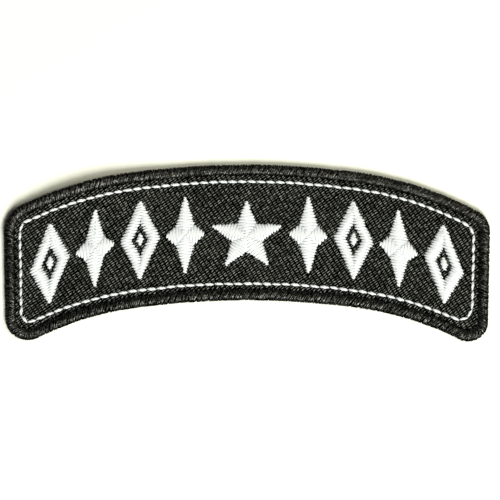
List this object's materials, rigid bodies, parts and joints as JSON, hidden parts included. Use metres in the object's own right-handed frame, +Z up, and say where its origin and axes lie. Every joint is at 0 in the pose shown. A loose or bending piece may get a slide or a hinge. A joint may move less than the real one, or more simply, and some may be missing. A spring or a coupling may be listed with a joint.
{
  "type": "rocker patch",
  "caption": "Arched embroidered cloth patch: black twill with an overlocked border, a white stitched outline and raised satin stars and diamonds.",
  "frame": {"origin": "middle of the patch's outline, on the surface it lies on", "axes": "+X along the arch, +Y towards its crown, +Z up out of the embroidered face"},
  "size_m": [0.1018, 0.0378, 0.0019],
  "materials": {
    "black_twill": "woven polyester-cotton twill",
    "border_thread": "overlocked polyester thread, slight sheen",
    "white_thread": "rayon embroidery thread, satin sheen"
  },
  "bodies": {
    "root": {"centre_star": "white_thread", "diamond_pip_left_2": "white_thread", "diamond_pip_left_4": "white_thread", "diamond_pip_right_2": "white_thread", "diamond_pip_right_4": "white_thread", "diamond_ring_left_2": "white_thread", "diamond_ring_left_4": "white_thread", "diamond_ring_right_2": "white_thread", "diamond_ring_right_4": "white_thread", "long_star_left_1": "white_thread", "long_star_left_3": "white_thread", "long_star_right_1": "white_thread", "long_star_right_3": "white_thread", "merrowed_border": "border_thread", "outline_stitch": "white_thread", "twill_ground": "black_twill"}
  },
  "joints": []
}
